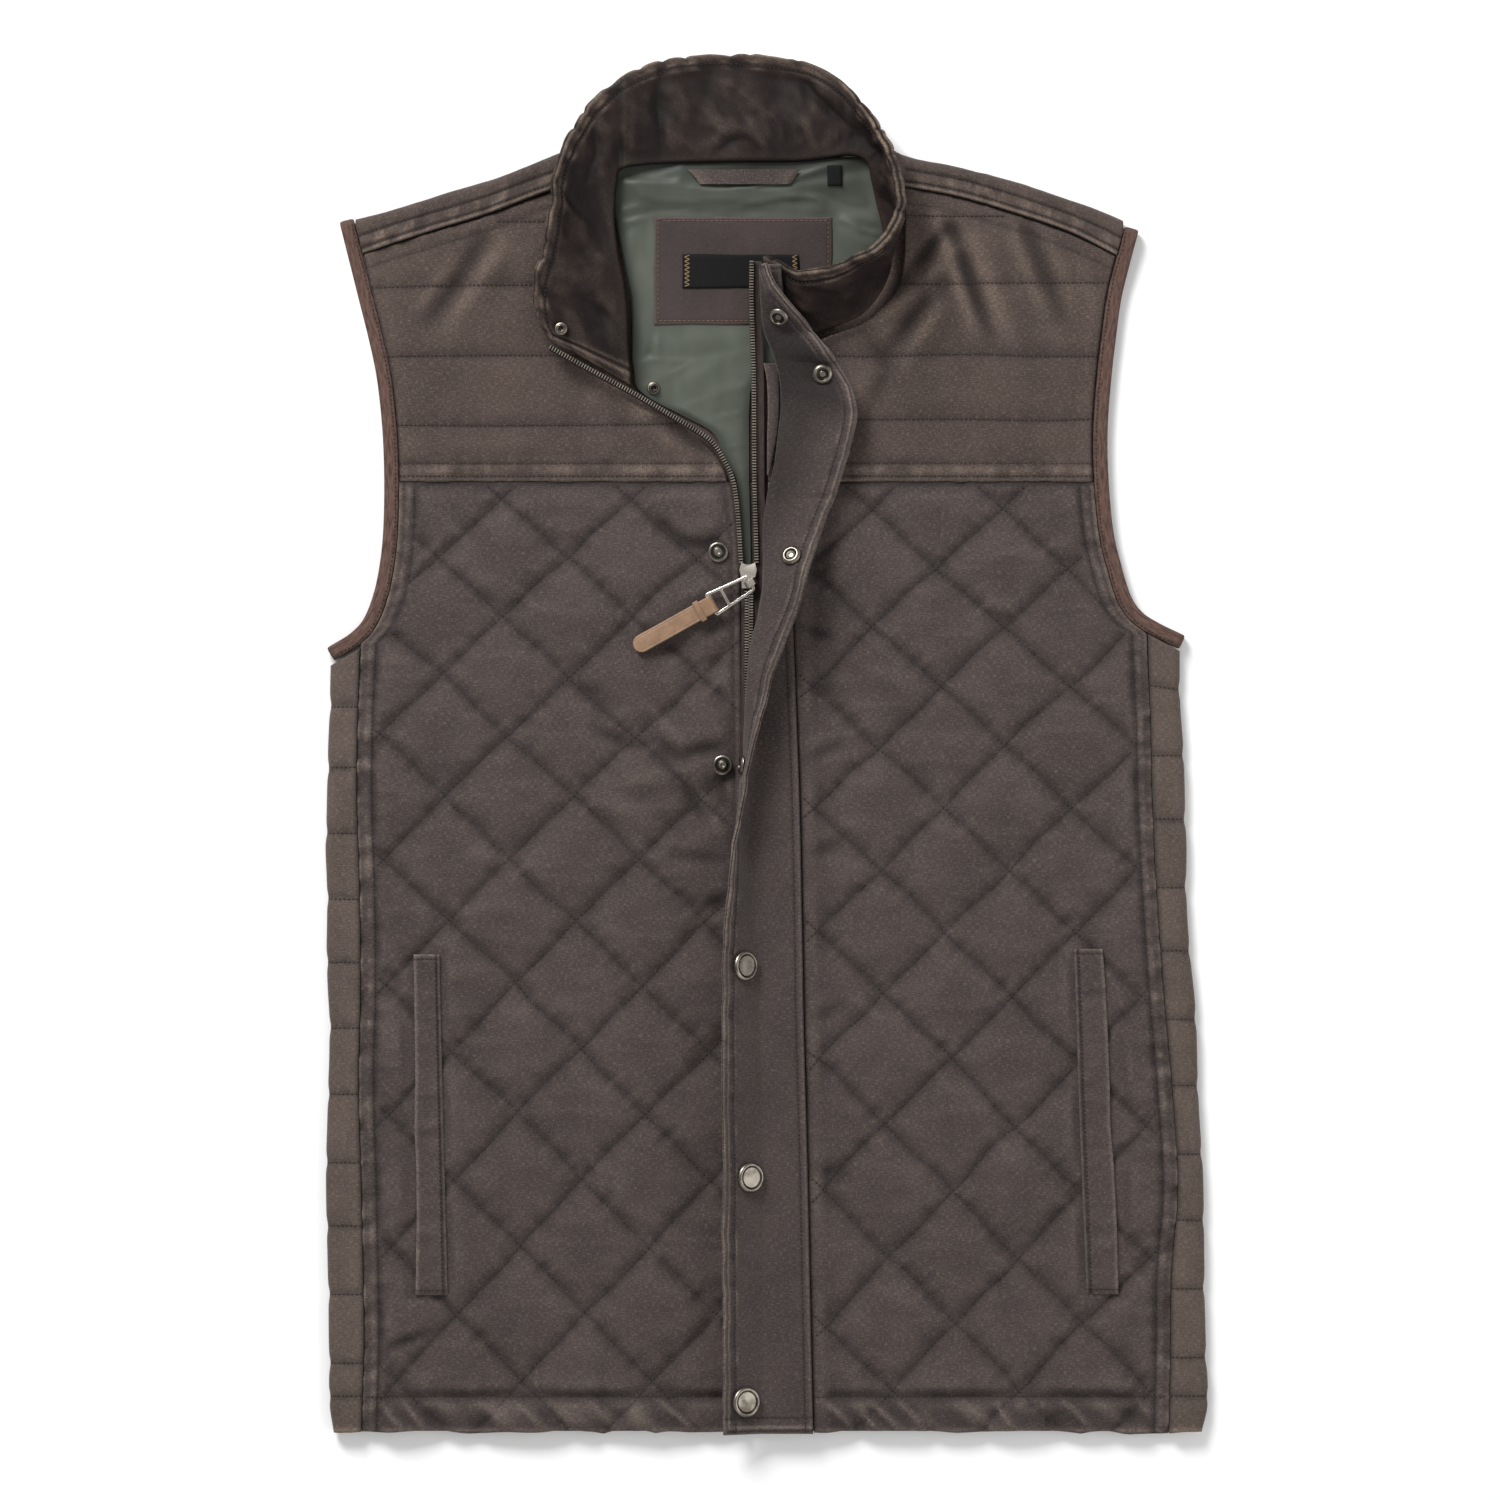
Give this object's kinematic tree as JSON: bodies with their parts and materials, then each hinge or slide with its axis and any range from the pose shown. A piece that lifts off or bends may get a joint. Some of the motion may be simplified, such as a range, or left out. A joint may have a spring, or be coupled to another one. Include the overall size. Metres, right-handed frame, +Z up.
{
  "type": "quilted vest",
  "caption": "Quilted sleeveless vest with a stand-up collar, a snap flap over a zip and welt pockets, laid flat on its back with the front partly open.",
  "frame": {"origin": "middle of the outline seen from above, on the surface that the vest lies on", "axes": "+Y from the hem to the collar, +Z up from the surface, the wearer's right at -X"},
  "size_m": [0.4846, 0.7584, 0.0474],
  "materials": {
    "shell": "garment-washed cotton with a slubby upright weave",
    "side_cloth": "garment-washed cotton, slightly more olive",
    "binding": "reddish brown woven tape",
    "lining": "soft satin weave with a low sheen",
    "neck_patch": "plain cotton",
    "label": "tightly woven ribbon",
    "zip_tape": "twill tape",
    "zip_teeth": "dark aged metal",
    "silver_metal": "antique silver plate, worn bright on the edges",
    "leather": "smooth vegetable-tanned leather"
  },
  "bodies": {
    "vest": {"front_right": "shell", "front_left": "shell", "pocket_welt_right": "shell", "pocket_welt_left": "shell", "placket_left": "shell", "flap": "shell", "collar": "shell", "hanger_loop": "shell", "edge_strip_left": "shell", "back_panel": "side_cloth", "back_yoke": "side_cloth", "side_panel_right": "side_cloth", "side_panel_left": "side_cloth", "front_yoke_right": "side_cloth", "front_yoke_left": "side_cloth", "armhole_binding_right": "binding", "armhole_binding_left": "binding", "neck_lining": "lining", "neck_patch": "neck_patch", "neck_label": "label", "size_tab": "label", "zip_tape_right": "zip_tape", "zip_tape_left": "zip_tape", "zip_teeth_right": "zip_teeth", "zip_teeth_left": "zip_teeth", "zip_teeth_closed": "zip_teeth", "zip_slider": "silver_metal", "snap_cap_1": "silver_metal", "snap_cap_2": "silver_metal", "snap_cap_3": "silver_metal", "snap_socket_1": "silver_metal", "snap_socket_2": "silver_metal", "snap_socket_3": "silver_metal", "snap_socket_4": "silver_metal", "snap_stud_1": "silver_metal", "snap_stud_2": "silver_metal", "stud_post_1": "silver_metal", "stud_post_2": "silver_metal"},
    "pull": {"pull_frame": "silver_metal", "pull_tab": "leather", "pull_keeper": "leather"}
  },
  "joints": [
    {"name": "pull_hinge", "type": "hinge", "parent": "vest", "child": "pull", "pos_m": [-0.00878, 0.08785, 0.0129], "axis": [-0.486, 0.874, 0], "range_deg": [0, 85]}
  ]
}
